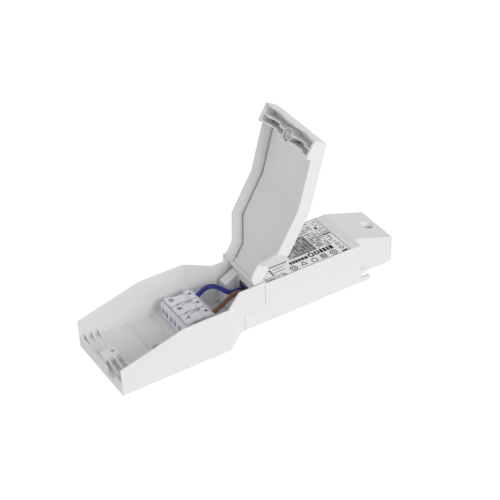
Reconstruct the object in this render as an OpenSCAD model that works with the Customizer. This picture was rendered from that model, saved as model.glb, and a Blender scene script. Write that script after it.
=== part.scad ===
// LED driver with a clip-on mains terminal box, lid open.
// X runs along the length from the cable entry to the output end, Y across, Z up.

/* [Box] */
// outside width of the wide part of the terminal box
box_width = 40.5; // [36:0.1:46]
// height of the terminal box
box_height = 22.2; // [20:0.1:26]
// height of the box at the cable entry
front_height = 13.7; // [12:0.1:18]
// length of the sloping top at the cable entry
slope_length = 31.5; // [24:0.1:38]
// where the box starts to narrow
taper_start = 54.1; // [50:0.1:60]
// where the narrow neck starts
taper_end = 64.4; // [60:0.1:70]
// where the neck ends over the driver
neck_end = 77.4; // [74:0.1:84]
// outside width of the neck
neck_width = 24.2; // [20:0.1:28]
// wall of the box
wall = 0.8; // [0.7:0.1:1.4]
// floor of the box
floor_z = 1.5; // [1:0.1:2.5]
// height of the raised floor behind the cable clamps
front_floor = 3.0; // [2:0.1:4]
// height of the pad under the terminal block
pad_floor = 3.2; // [2:0.1:4]
// distance of the fixing hole from the cable entry
well_hole_x = 27.2; // [25:0.1:32]
// radius of the fixing hole in the floor
well_hole_radius = 2.1; // [1.8:0.05:2.5]

/* [Cable entry] */
// radius of the two cable holes
cable_radius = 3.5; // [2.5:0.1:4.5]
// distance of a cable hole from the middle
cable_offset = 9.7; // [8:0.1:12]
// height of the cable holes
cable_height = 6.4; // [5:0.1:8]
// thickness of a cable clamp rib
rib = 0.8; // [0.6:0.1:1.2]
// pitch of the clamp ribs
rib_pitch = 3.2; // [2.5:0.1:4]
// distance of the lid screw from the cable entry
screw_x = 6.2; // [5:0.1:7]
// height of the post that takes the lid screw
post_top = 8.4; // [7:0.1:9]

/* [Lid] */
// opening angle of the lid as drawn
lid_open = 121; // [0:1:121]
// gap between lid and walls
lid_gap = 0.15; // [0.1:0.05:0.3]
// thickness of the lid plate
lid_plate = 1.2; // [1:0.1:1.6]
// depth of the lid skirt including the plate
lid_skirt = 6.5; // [4:0.1:8]
// position of the hinge axis along the box
hinge_x = 74.1; // [72:0.1:75]
// radius of the hinge barrel
barrel_radius = 1.15; // [1:0.05:1.5]
// radius of the hinge pins
pin_radius = 0.75; // [0.6:0.05:0.9]

/* [Driver] */
// overall length of box and driver
total_length = 150.5; // [140:0.1:170]
// width of the driver body
driver_width = 30; // [28:0.1:34]
// height of the driver body
driver_height = 21.3; // [20:0.1:24]
// end of the full height body
body_end = 129.1; // [120:0.1:135]
// height at the very end of the output ramp
end_height = 14; // [12:0.1:18]
// step in from the near side at the output end
end_inset = 5.8; // [4:0.1:8]
// wall of the driver case
shell = 1.6; // [1.2:0.1:2]
// where the wide shoulder beside the neck starts
shoulder_start = 73.5; // [70:0.1:76]
// half width of the driver nose inside the neck
nose_half = 9.5; // [8:0.1:10]
// height of the nose where its ramp starts
ramp_foot = 15.1; // [12:0.1:17]
// where the nose ramp reaches full height
ramp_end = 78.4; // [77.5:0.1:80]
// radius of the fixing screw hole
fixing_radius = 1.9; // [1.6:0.05:2.3]
// thickness of the rating label
label_thickness = 0.12; // [0.08:0.01:0.2]

/* [Terminal block] */
// pitch of the three poles
pole_pitch = 7.3; // [6.5:0.1:8]
// middle of the block across the box
block_y = 3.95; // [0:0.05:6]
// front face of the block
block_x = 38.6; // [36:0.1:42]
// length of the block
block_length = 18.4; // [16:0.1:20]
// width of a release lever
lever_width = 6.3; // [5.5:0.1:6.6]
// radius of a lead with its insulation
lead_radius = 1.1; // [0.8:0.05:1.2]

/* [View] */
// which piece is drawn

/* [Hidden] */
$fn = 48;
E = 0.01;
near_y = -neck_width/2;
far_y = near_y + driver_width;
end_near = near_y + end_inset;
end_mid = (end_near + far_y)/2;
tube_radius = 3.9;
out_wires = [far_y - 6.5, far_y - 3.3];
out_z = 8.5;
fixing_x = total_length - 5.2;
slope_angle = atan((box_height - front_height)/slope_length);
taper_angle = atan((box_width - neck_width)/2/(taper_end - taper_start));
hinge_z = box_height - barrel_radius;
strip_x = hinge_x + 2.09;
nose_x = taper_end + 2.0;
lid_half = box_width/2 - wall - lid_gap;
neck_half = neck_width/2 - wall - lid_gap;
board_z = 4.0;
board_top = board_z + 1.6;
roof = driver_height - shell;
ramp_slope = (driver_height - ramp_foot)/(ramp_end - nose_x);
end_slope = (driver_height - end_height)/(total_length - body_end);
recess_x = nose_x + 7.2;
bottom_z = 1.8;
body_from = neck_end + 0.1 + shell;
grid_x = (body_end - shell - body_from)/48.4;
grid_y = (driver_width - 2*shell)/26.8;
grid_z = (roof - board_top)/14.1;
grid_r = min(grid_x, grid_y, grid_z);
entry_z = 13.1;
entry_y = [0.6, -2.2];
pivot_x = block_x + 3.0;
pivot_z = 10.6;
poles = [block_y + pole_pitch, block_y, block_y - pole_pitch];

function lid_top(x) = min(box_height, front_height + x*tan(slope_angle));
function nose_top(x) = ramp_foot + (x - nose_x)*ramp_slope;
function end_top(x) = driver_height - (x - body_end)*end_slope;

// plan of the box, moved inward by i, from a to b
function plan(i, a, b) = let (w = box_width/2 - i, n = neck_width/2 - i, s = i*tan(taper_angle/2))
  [[a, -w], [taper_start - s, -w], [taper_end - s, -n], [b, -n], [b, n], [taper_end - s, n], [taper_start - s, w], [a, w]];

// side view strip under the lid's top line, t thick
function band(t, a, b) = let (c = slope_length + t*tan(slope_angle/2))
  [[a, lid_top(a)], [slope_length, box_height], [b, box_height], [b, box_height - t], [c, box_height - t],
   [a, lid_top(a) - t/cos(slope_angle)]];

// side view strip between two depths under the lid's top line
function layer(t0, t1, a, b) = let (c0 = slope_length + t0*tan(slope_angle/2), c1 = slope_length + t1*tan(slope_angle/2))
  [[a, lid_top(a) - t0/cos(slope_angle)], [c0, box_height - t0], [b, box_height - t0], [b, box_height - t1],
   [c1, box_height - t1], [a, lid_top(a) - t1/cos(slope_angle)]];

// move from the cable entry to the middle of the part
module place() translate([-total_length/2, 0, 0]) children();

// side view drawn in XZ and pulled out between two Y values
module across(a, b) translate([0, b, 0]) rotate([90, 0, 0]) linear_extrude(b - a) children();

module block(x0, x1, y0, y1, z0, z1) translate([x0, y0, z0]) cube([x1 - x0, y1 - y0, z1 - z0]);

// round bar along Y between two Y values
module bar_y(x, z, r, a, b) translate([x, a, z]) rotate([-90, 0, 0]) cylinder(r = r, h = b - a);

// round bar along X between two X values
module bar_x(y, z, r, a, b) translate([a, y, z]) rotate([0, 90, 0]) cylinder(r = r, h = b - a);

// path helpers for the leads
function spline(p0, p1, p2, p3, t) = 0.5*(2*p1 + (p2 - p0)*t + (2*p0 - 5*p1 + 4*p2 - p3)*t*t + (3*p1 - p0 - 3*p2 + p3)*t*t*t);
function path(p, n) = [for (i = [0:len(p) - 2]) for (k = [0:n - 1])
  spline(p[max(i - 1, 0)], p[i], p[i + 1], p[min(i + 2, len(p) - 1)], k/n), p[len(p) - 1]];
function unit(v) = v/norm(v);
function heading(q, i) = unit(q[min(i + 1, len(q) - 1)] - q[max(i - 1, 0)]);
function ring(c, d, r, m) = let (a = unit(cross([0, 0, 1], d)), b = cross(d, a))
  [for (k = [0:m - 1]) c + r*cos(360*k/m)*a + r*sin(360*k/m)*b];

// round lead swept along smooth control points
module lead(p, r) {
  q = path(p, 5);
  m = 20;
  n = len(q);
  polyhedron(
    points = [for (i = [0:n - 1]) each ring(q[i], heading(q, i), r, m)],
    faces = concat([[for (k = [0:m - 1]) k]],
      [for (i = [0:n - 2]) for (k = [0:m - 1]) [i*m + k, (i + 1)*m + k, (i + 1)*m + (k + 1)%m, i*m + (k + 1)%m]],
      [[for (k = [m - 1:-1:0]) (n - 1)*m + k]]));
}

// outer form of the driver, without its hollow
module driver_form() {
  block(neck_end + 0.1, body_end, near_y, far_y, 0, driver_height);
  block(shoulder_start, neck_end + 0.2, neck_width/2 + 0.1, far_y, 0, driver_height);
  across(-nose_half, nose_half) polygon([[nose_x, 0], [ramp_end + 1, 0], [ramp_end + 1, driver_height],
    [ramp_end, driver_height], [nose_x, ramp_foot]]);
  across(near_y, neck_width/2 + 0.1) polygon([[nose_x, 0], [neck_end + 0.2, 0], [neck_end + 0.2, 10.7],
    [neck_end - 1.3, 10.0], [nose_x, 7.5]]);
  across(end_near, far_y) polygon([[body_end - 1, 0], [total_length, 0], [total_length, end_height],
    [body_end, driver_height], [body_end - 1, driver_height]]);
  block(body_end - 0.5, body_end + 5.5, near_y, near_y + 1.8, 0, 2.3);
  block(body_end - 0.5, body_end + 2.4, near_y, near_y + 1.5, 4.6, 6.8);
}

// openings from below that the bottom cover fills, up to z
module driver_floor_plan(z0, z1) {
  block(nose_x + shell, neck_end + 0.1 + shell + E, -nose_half + shell, nose_half - shell, z0, z1);
  block(neck_end + 0.1 + shell, body_end - shell, near_y + shell, far_y - shell, z0, z1);
  block(body_end - shell - E, total_length - shell, end_near + shell, far_y - shell, z0, z1);
}

module fixing_tube(r, z0, z1) translate([fixing_x, end_mid, z0]) cylinder(r = r, h = z1 - z0);

module driver_case() color([0.93, 0.93, 0.92]) place() difference() {
  driver_form();
  // hollow of the main body
  block(neck_end + 0.1 + shell, body_end - shell, near_y + shell, far_y - shell, -1, roof);
  // hollow of the nose below the wire bay and behind it
  block(nose_x + shell, recess_x + 1.2 + E, -nose_half + shell, nose_half - shell, -1, 8.0);
  across(-nose_half + shell, nose_half - shell) polygon([[recess_x + 1.2, -1], [neck_end + 0.2 + shell, -1],
    [neck_end + 0.2 + shell, roof], [ramp_end - 0.4, roof], [recess_x + 1.2, nose_top(recess_x + 1.2) - 1.8]]);
  // wire bay in the ramp and the window to the input terminal
  block(nose_x - 1, recess_x, -8.9, 4.7, 9.5, 30);
  block(recess_x - 1, recess_x + 2, -8.0, 3.6, 9.9, 15.7);
  // hollow of the output end around the fixing tube
  difference() {
    across(end_near + shell, far_y - shell) polygon([[body_end - shell - E, -1], [total_length - shell, -1],
      [total_length - shell, end_top(total_length - shell) - 1.7], [body_end, roof], [body_end - shell - E, roof]]);
    fixing_tube(tube_radius, -2, 40);
  }
  // fixing hole with its dished seat
  fixing_tube(fixing_radius, -1, 40);
  translate([fixing_x, end_mid, 13.9]) cylinder(r1 = fixing_radius, r2 = fixing_radius + 2.6, h = 3.8);
  // holes for the output wires
  for (y = out_wires) bar_x(y, out_z, 1.4, total_length - 4, total_length + 1);
}

module driver_bottom() color([0.9, 0.9, 0.89]) place() difference() {
  union() {
    driver_floor_plan(0, bottom_z);
    for (x = [body_from + 3.9, body_end - 4.1]) for (y = [near_y + 4.5, far_y - 4.5])
      translate([x, y, bottom_z - E]) cylinder(r = 1.6, h = board_z - bottom_z + E);
  }
  fixing_tube(tube_radius, -1, 10);
}

module rating_label() color([0.96, 0.96, 0.95]) place()
  block(ramp_end + 0.3, body_end - 5.4, near_y + 0.3, far_y - 0.3, driver_height, driver_height + label_thickness);

// parts on the board stand on a grid that fills the hollow of the case
function on_x(x) = body_from + x*grid_x;
function on_y(y) = near_y + shell + y*grid_y;
function on_z(z) = board_top + z*grid_z;

module part_box(x0, x1, y0, y1, z0, z1) block(on_x(x0), on_x(x1), on_y(y0), on_y(y1), on_z(z0), on_z(z1));

module part_can(x, y, r, h) translate([on_x(x), on_y(y), board_top]) cylinder(r = r*grid_r, h = h*grid_z);

module circuit_board() color([0.12, 0.36, 0.22]) place() difference() {
  union() {
    block(recess_x + 1.6, body_from + 1.4, -nose_half + 1.9, nose_half - 1.9, board_z, board_top);
    block(body_from + 0.9, body_end - 2.5, near_y + 2.0, far_y - 2.0, board_z, board_top);
    block(body_end - 3.1, total_length - 2.1, end_near + 2.0, far_y - 2.0, board_z, board_top);
  }
  fixing_tube(tube_radius + 0.4, 0, 10);
}

module input_terminal() color([0.36, 0.37, 0.38]) place() difference() {
  union() {
    block(recess_x + 1.25, recess_x + 6.6, -nose_half + shell, 3.5, board_top, 15.5);
    block(recess_x - 0.3, recess_x + 1.4, -nose_half + shell, 3.5, 10.0, 15.5);
  }
  for (y = entry_y) {
    bar_x(y, entry_z, lead_radius + 0.05, recess_x - 1, recess_x + 3);
    block(recess_x + 2.6, recess_x + 5.4, y - 1.2, y + 1.2, 10.5, 14.4);
  }
  // slots between the poles in its front
  for (y = [2.0, -0.8, -3.6, -6.4]) block(recess_x - 1, recess_x + 0.4, y - 0.2, y + 0.2, 10.6, 16);
}

module output_terminal() color([0.36, 0.37, 0.38]) place() difference() {
  block(total_length - 11.3, total_length - shell, far_y - 8.0, far_y - shell - 0.2, board_top, 11.6);
  for (y = out_wires) bar_x(y, out_z, 1.5, total_length - 9, total_length);
}

module mains_fuse() color([0.30, 0.22, 0.16]) place() part_can(5.4, 4.3, 3.0, 8);

module surge_varistor() color([0.16, 0.30, 0.62]) place() {
  bar_x(on_y(13.7), on_z(5.4), 4.6*grid_r, on_x(5.1), on_x(8.3));
  for (y = [11.2, 16.2]) part_can(6.7, y, 0.4, 3.5);
}

module line_choke() color([0.15, 0.15, 0.16]) place() {
  difference() {
    part_box(10.4, 20.4, 0.9, 9.9, 0, 10.5);
    part_box(12.8, 18.0, 2.9, 7.9, -1, 12);
  }
  for (x = [10.2, 17.9]) part_box(x, x + 2.7, 1.9, 8.9, 1.5, 9.0);
}

module filter_capacitor() color([0.80, 0.62, 0.16]) place() part_box(4.1, 17.1, 19.9, 24.9, 0, 10.8);

module bridge_rectifier() color([0.10, 0.10, 0.11]) place() part_box(11.4, 17.9, 11.7, 17.9, 0, 2.6);

module bulk_capacitor() color([0.13, 0.16, 0.30]) place() part_can(22.5, 21.1, 4.9, 13.4);

module transformer_core() color([0.22, 0.21, 0.22]) place() {
  part_box(27.7, 40.1, 0.7, 3.9, 2.4, 13.2);
  part_box(27.7, 40.1, 15.5, 18.7, 2.4, 13.2);
  part_box(27.7, 40.1, 3.8, 15.6, 2.4, 5.0);
  part_box(27.7, 40.1, 3.8, 15.6, 10.6, 13.2);
}

module transformer_winding() color([0.86, 0.70, 0.20]) place() {
  difference() {
    part_box(26.3, 41.5, 3.9, 15.5, 5.0, 10.6);
    part_box(27.7, 40.1, 3.8, 5.9, 4.9, 10.7);
    part_box(27.7, 40.1, 13.5, 15.6, 4.9, 10.7);
  }
  for (x = [25.5, 40.3]) part_box(x, x + 2.0, 4.5, 14.9, 0, 5.0);
}

module switch_transistor() color([0.12, 0.12, 0.13]) place() {
  part_box(21.4, 25.2, 1.3, 7.7, 0, 2.4);
  part_box(21.9, 24.7, 0.5, 1.4, 0, 0.6);
}

module control_chip() color([0.10, 0.10, 0.11]) place() part_box(20.3, 25.3, 10.0, 14.0, 0, 1.6);

module isolation_capacitor() color([0.15, 0.35, 0.68]) place() {
  bar_y(on_x(32.1), on_z(4.6), 3.6*grid_r, on_y(23.0), on_y(25.4));
  for (x = [30.1, 34.1]) part_can(x, 24.2, 0.35, 3);
}

module output_diode() color([0.10, 0.10, 0.11]) place() part_box(43.0, 47.8, 1.2, 5.0, 0, 2.3);

module output_capacitor() color([0.10, 0.12, 0.16]) place() part_can(44.2, 21.0, 4.0, 11.5);

// one half ring rib set for one cable side, s is the side
module clamp_ribs(s) {
  y0 = s > 0 ? 2.2 : -box_width/2 + wall - 0.3;
  y1 = s > 0 ? box_width/2 - wall + 0.3 : -2.2;
  difference() {
    for (k = [0:2]) block(2.4 + k*rib_pitch, 2.4 + rib + k*rib_pitch, y0, y1, front_floor - E, 6.6);
    bar_x(s*cable_offset, 15.4, 12.7, 0, 20);
  }
}

module box_tray() color([0.94, 0.94, 0.93]) place() {
  difference() {
    intersection() {
      linear_extrude(box_height) polygon(plan(0, 0, neck_end));
      across(-30, 30) polygon([[0, 0], [nose_x - 0.1, 0], [nose_x - 0.1, 7.6], [neck_end - 1.3, 10.1],
        [neck_end, 10.8], [neck_end, box_height], [slope_length, box_height], [0, front_height]]);
    }
    // raised floor, well, pad and the low floor behind the pad
    intersection() {
      translate([0, 0, floor_z]) linear_extrude(box_height) polygon(plan(wall, wall, neck_end + 1));
      union() {
        block(wall, 22.6, -30, 30, front_floor, 40);
        block(22.5, 36.1, -30, 30, floor_z, 40);
        block(36, 58.6, -30, 30, pad_floor, 40);
        block(58.5, strip_x, -30, 30, floor_z, 40);
        block(strip_x - E, neck_end + 2, -30, 30, 0, 21.0);
      }
    }
    // low front wall with an open half hole and a shallow dip over the closed one
    block(-1, wall + E, -box_width/2 + wall, box_width/2 - wall, cable_height, 40);
    bar_x(-cable_offset, cable_height, cable_radius, -1, wall + 1);
    intersection() {
      bar_x(cable_offset, cable_height + 10.3, 11.6, -1, wall + 1);
      block(-1, wall + 1, 0, box_width/2 - wall, 0, cable_height + 1);
    }
    // blind holes for the hinge pins
    for (s = [-1, 1]) bar_y(hinge_x, hinge_z, pin_radius + 0.05, s > 0 ? neck_half : 0.2 - neck_width/2,
      s > 0 ? neck_width/2 - 0.2 : -neck_half);
    // fixing hole in the well
    translate([well_hole_x, -1.4, -1]) cylinder(r = well_hole_radius, h = 6);
  }
  for (s = [-1, 1]) clamp_ribs(s);
  // raised base of the clamps and the screw post
  difference() {
    union() {
      block(wall - E, 10.1, -box_width/2 + wall - E, box_width/2 - wall + E, front_floor - E, front_floor + 0.5);
      block(wall - E, screw_x, -2.3, 2.3, front_floor - E, cable_height);
      block(wall + 0.4, screw_x, -2.3, 2.3, front_floor - E, post_top);
      translate([screw_x, 0, front_floor - E]) cylinder(r = 2.5, h = post_top - front_floor + E);
    }
    translate([screw_x, 0, front_floor + 0.9]) cylinder(r = 1.0, h = 10);
    bar_x(-cable_offset, cable_height, cable_radius, -1, wall + 1);
  }
}

// the lid as it lies when closed
module lid_closed() {
  g = wall + lid_gap;
  skirt = 1.1;
  round_x = hinge_x - 4.6;
  round_z = box_height - lid_skirt + 4.5;
  difference() {
    union() {
      intersection() {
        across(-30, 30) polygon(band(lid_plate, 0, hinge_x));
        linear_extrude(40) polygon(plan(g, -1, hinge_x + 1));
      }
      // skirt with deeper cheeks beside the cable clamp
      intersection() {
        across(-30, 30) union() {
          polygon(band(lid_skirt, 0, hinge_x));
          polygon([[0, 6.8], [8.9, 6.8], [8.9, lid_top(8.9) - 1], [0, lid_top(0) - 1]]);
        }
        linear_extrude(40) difference() {
          polygon(plan(g, -1, hinge_x + 1));
          polygon(plan(g + skirt, -2, hinge_x + 2));
        }
      }
      // front wall with a shallow dip over each cable
      difference() {
        across(0.4 - lid_half, lid_half - 0.4) polygon([[0, cable_height + 0.5], [wall, cable_height + 0.5],
          [wall, lid_top(wall) - 0.2], [0, lid_top(0) - 0.2]]);
        for (s = [-1, 1]) bar_x(s*cable_offset, cable_height - 9.7, 11.6, -1, wall + 0.5);
      }
      // two clamp ribs with half holes
      difference() {
        for (x = [rib_pitch + 1.1, 2*rib_pitch + 1.2]) across(0.5 - lid_half, lid_half - 0.5)
          polygon([[x, 7.4], [x + 0.9, 7.4], [x + 0.9, lid_top(x + 0.9) - 0.4], [x, lid_top(x) - 0.4]]);
        for (s = [-1, 1]) bar_x(s*cable_offset, 6.0, 4.2, wall + 0.5, 12);
        block(wall + 0.1, screw_x + 3.2, -2.9, 2.9, 0, post_top + 0.5);
      }
      // screw boss
      intersection() {
        translate([screw_x, 0, post_top + 0.2]) cylinder(r = 3.3, h = 20);
        across(-30, 30) polygon([[0, 0], [hinge_x, 0], [hinge_x, box_height - 0.4], [slope_length, box_height - 0.4],
          [0, front_height - 0.4]]);
      }
    }
    // sunk hole for the lid screw, the dish and the ring groove in its boss
    translate([screw_x, 0, post_top + 2.2]) cylinder(r = 2.65, h = 20);
    translate([screw_x, 0, 0]) cylinder(r = 1.45, h = 20);
    translate([screw_x, 0, post_top - 1.5]) cylinder(r = 2.45, h = 2.3);
    difference() {
      translate([screw_x, 0, post_top - 1]) cylinder(r = 2.8, h = 2.3);
      translate([screw_x, 0, post_top - 2]) cylinder(r = 2.1, h = 4);
    }
    // groove along the foot of the skirt
    intersection() {
      across(-30, 30) polygon(layer(0.5, lid_plate + 0.2, 10, hinge_x - 3));
      linear_extrude(40) difference() {
        polygon(plan(g + skirt, 8, hinge_x + 1));
        polygon(plan(g + skirt + 0.9, 7, hinge_x + 2));
      }
    }
    // rounded corners of the skirt at the hinge
    difference() {
      block(round_x, hinge_x + 3, -20, 20, 5, round_z);
      bar_y(round_x, round_z, 4.5, -21, 21);
    }
  }
  bar_y(hinge_x, hinge_z, barrel_radius, 0.1 - neck_half, neck_half - 0.1);
  bar_y(hinge_x, hinge_z, pin_radius, -neck_half - wall - lid_gap + 0.3, neck_half + wall + lid_gap - 0.3);
}

// swing from the closed place to the drawn opening angle
module swing() translate([hinge_x, 0, hinge_z]) rotate([0, lid_open, 0]) translate([-hinge_x, 0, -hinge_z]) children();

module box_lid() color([0.94, 0.94, 0.93]) place() swing() lid_closed();

module lid_screw() color([0.72, 0.72, 0.70]) place() swing() difference() {
  union() {
    translate([screw_x, 0, post_top + 0.6]) cylinder(r = 1.45, h = 4.8);
    translate([screw_x, 0, post_top + 5.0]) cylinder(r = 2.5, h = 1.5);
  }
  for (a = [0, 90]) translate([screw_x, 0, post_top + 6.2]) rotate([0, 0, a]) cube([3.2, 0.7, 1.4], center = true);
}

// direction in which both leads leave the block
lead_out = unit([0.88, 0, 0.47]);
lead_in = block_x + 17.4;
lead_z = 9.75;

// islands between neighbouring levers, a lens and a round post
module lever_islands() for (y = [poles[0] - pole_pitch/2, poles[1] - pole_pitch/2]) {
  intersection_for (s = [-1, 1]) translate([block_x + 7.0, y + s*4.8, 9.0]) cylinder(r = 5.45, h = 2.7);
  difference() {
    translate([block_x + 10.5, y, 8.4]) cylinder(r = 0.9, h = 3.0);
    translate([block_x + 10.5, y, 9.4]) cylinder(r = 0.5, h = 3.0);
  }
}

module terminal_housing() color([0.91, 0.90, 0.94]) place() {
  lever_islands();
  difference() {
    across(block_y - 1.5*pole_pitch, block_y + 1.5*pole_pitch) polygon([[block_x, pad_floor],
      [block_x + block_length, pad_floor], [block_x + block_length, 8.3], [block_x + 16.0, 10.6], [block_x + 12, 11.0],
      [block_x, 10.7]]);
    for (y = poles) {
      // pocket of the release lever with its round seat
      across(y - lever_width/2 - 0.15, y + lever_width/2 + 0.15) polygon([[pivot_x - 1.4, pivot_z], [pivot_x + 0.9, pivot_z - 0.3],
        [block_x + 15.3, 8.2], [block_x + 15.3, 14], [pivot_x - 1.4, 14]]);
      bar_y(pivot_x, pivot_z, 1.05, y - lever_width/2 - 0.15, y + lever_width/2 + 0.15);
      // clamp chamber, wire entries and the lead hole
      across(y - 2.6, y + 2.6) polygon([[block_x + 1.2, 4.4], [block_x + 16, 4.4], [block_x + 16, 6.6], [block_x + 9, 8.0], [block_x + 1.2, 8.6]]);
      for (s = [-1, 1]) block(block_x - 1, block_x + 2, y + s*1.6 - 1.0, y + s*1.6 + 1.0, 5.4, 8.4);
    }
    for (y = [poles[0], poles[2]]) translate([lead_in - 1.75*lead_out[0], y, lead_z - 1.75*lead_out[2]])
      rotate([0, 90 - asin(lead_out[2]), 0]) cylinder(r = lead_radius + 0.05, h = 8);
  }
}

module pole_clamps() color([0.80, 0.74, 0.50]) place() for (y = poles) {
  block(block_x + 1.6, block_x + 15.6, y - 1.8, y + 1.8, 4.4, 5.0);
  across(y - 1.5, y + 1.5) polygon([[block_x + 5.0, 4.9], [block_x + 5.5, 4.9], [block_x + 9.5, 7.2], [block_x + 9.2, 7.6]]);
  across(y - 1.5, y + 1.5) polygon([[block_x + 13.0, 4.9], [block_x + 12.5, 4.9], [block_x + 9.5, 7.2], [block_x + 9.2, 7.6]]);
}

// rocking release lever of one pole, pressed at its raised rear head
module release_lever(y) color([0.93, 0.92, 0.96]) place() {
  difference() {
    across(y - lever_width/2, y + lever_width/2) polygon([[block_x + 1.65, pivot_z + 0.15], [block_x + 1.65, 12.5],
      [block_x + 11.4, 11.5], [block_x + 11.7, 12.3], [block_x + 14.4, 12.1], [block_x + 15.0, 11.4], [block_x + 15.0, 9.7],
      [pivot_x + 1.0, pivot_z + 0.15]]);
    // waisted sides beside the head
    for (s = [-1, 1]) translate([block_x + 7.0, y + s*(lever_width/2 + 5.3), 0]) cylinder(r = 6.0, h = 30);
    for (s = [-1, 1]) translate([block_x + 10.5, y + s*(lever_width/2 + 0.5), 0]) cylinder(r = 1.3, h = 30);
  }
  bar_y(pivot_x, pivot_z, 1.0, y - lever_width/2, y + lever_width/2);
}

module release_lever_neutral() release_lever(poles[0]);
module release_lever_earth() release_lever(poles[1]);
module release_lever_live() release_lever(poles[2]);

// start of a lead inside the block and its way out
function lead_start(y) = [for (d = [-1.7, -0.6, 0.8]) [lead_in + d*lead_out[0], y, lead_z + d*lead_out[2]]];

// straight end of a lead inside the input terminal
function lead_end(y) = [for (d = [-1.3, -0.5, 2.5]) [recess_x + d, y, entry_z]];

module neutral_lead() color([0.06, 0.12, 0.52]) place()
  lead(concat(lead_start(poles[0]), [[59.6, 10.1, 12.9], [61.9, 7.7, 14.4], [63.6, 4.9, 14.5], [65.3, 2.5, 13.6],
    [67.4, 0.9, 13.0], [69.8, 0.6, 12.9]], lead_end(entry_y[0])), lead_radius);

module live_lead() color([0.33, 0.17, 0.08]) place()
  lead(concat(lead_start(poles[2]), [[60.0, -3.3, 11.6], [62.6, -3.0, 12.9], [65.3, -2.6, 13.9], [67.9, -2.3, 14.2],
    [70.2, -2.2, 13.7]], lead_end(entry_y[1])), lead_radius);

driver_case();
driver_bottom();
rating_label();
circuit_board();
input_terminal();
output_terminal();
mains_fuse();
surge_varistor();
line_choke();
filter_capacitor();
bridge_rectifier();
bulk_capacitor();
transformer_core();
transformer_winding();
switch_transistor();
control_chip();
isolation_capacitor();
output_diode();
output_capacitor();
box_tray();
box_lid();
lid_screw();
terminal_housing();
pole_clamps();
release_lever_neutral();
release_lever_earth();
release_lever_live();
neutral_lead();
live_lead();
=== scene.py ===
"""Studio picture of a slim LED driver with its clip-on terminal box, lid swung open."""

from __future__ import annotations

import logging
import math
from dataclasses import dataclass, field
from enum import Enum
from typing import Any, Dict, List, Sequence, Set, Tuple

import bmesh
import bpy
from mathutils import Matrix, Vector
from mathutils.bvhtree import BVHTree
from mathutils.geometry import intersect_point_line

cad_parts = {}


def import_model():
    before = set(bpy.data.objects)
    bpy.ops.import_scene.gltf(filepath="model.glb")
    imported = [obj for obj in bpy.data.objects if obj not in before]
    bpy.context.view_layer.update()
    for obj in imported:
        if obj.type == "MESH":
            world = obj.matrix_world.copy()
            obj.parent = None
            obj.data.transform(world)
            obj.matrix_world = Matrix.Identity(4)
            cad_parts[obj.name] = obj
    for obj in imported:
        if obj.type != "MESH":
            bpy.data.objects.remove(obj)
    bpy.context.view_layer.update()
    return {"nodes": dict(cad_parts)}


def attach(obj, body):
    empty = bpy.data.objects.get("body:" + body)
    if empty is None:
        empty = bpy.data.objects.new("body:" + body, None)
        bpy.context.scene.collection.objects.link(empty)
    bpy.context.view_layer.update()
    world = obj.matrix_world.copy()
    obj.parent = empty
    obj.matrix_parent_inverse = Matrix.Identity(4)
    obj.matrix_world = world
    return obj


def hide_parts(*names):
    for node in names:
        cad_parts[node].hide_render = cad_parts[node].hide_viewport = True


frame: Dict[str, Any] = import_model()
LOG = logging.getLogger("led_driver")

Colour = Tuple[float, float, float]
Point = Tuple[float, float]
Place = Tuple[float, float, float]
Box = Tuple[float, float, float, float]

WHITE = (1.0, 1.0, 1.0, 1.0)
# millimetres in a metre
PER_METRE = 1000.0
# distance from the cable entry to the middle of the part, mm
HALF_LENGTH = 75.25
# rays that measure how open a fold is for its painted shade
FOLD_SHADE_RAYS = 6
# openness between which the painted shade in a fold goes from its darkest to none
FOLD_SHADE_RANGE: Point = (0.15, 0.6)
# cloud values between which a finish goes from its shaded to its full colour
CLOUD_RANGE: Point = (0.3, 0.7)
# height of the moulded grain, m
GRAIN_HEIGHT = 0.00006


class Body(Enum):
    """Rigid bodies of the frame."""

    BASE = "base"
    LID = "lid"
    LEVER_NEUTRAL = "lever_neutral"
    LEVER_EARTH = "lever_earth"
    LEVER_LIVE = "lever_live"


class Mark(Enum):
    """Plain signs that are printed on the release levers."""

    PAIR = "two bars"
    EARTH = "three bars of falling length"
    CORNER = "bar and dot"


def at(x: float, y: float, z: float) -> Vector:
    """Returns a place in metres for x from the cable entry, y and z in mm."""
    return Vector(((x - HALF_LENGTH) / PER_METRE, y / PER_METRE, z / PER_METRE))


def corners(box: Box) -> List[Point]:
    """Returns the corners of a box given as x0, x1, y0, y1, anticlockwise."""
    x0, x1, y0, y1 = box
    return [(x0, y0), (x1, y0), (x1, y1), (x0, y1)]


def by_identifier(sockets: Sequence[bpy.types.NodeSocket]) -> Dict[str, bpy.types.NodeSocket]:
    """Returns the sockets of a node under their identifiers."""
    return {socket.identifier: socket for socket in sockets}


def linear(colour: Colour) -> Tuple[float, float, float, float]:
    """Turns a display colour into a scene colour.

    Args:
        colour: red, green and blue from 0 to 1 as a screen shows them.

    Returns:
        The scene-linear colour with alpha 1.
    """
    parts = [c / 12.92 if c <= 0.04045 else ((c + 0.055) / 1.055) ** 2.4 for c in colour]
    return (parts[0], parts[1], parts[2], 1.0)


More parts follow.
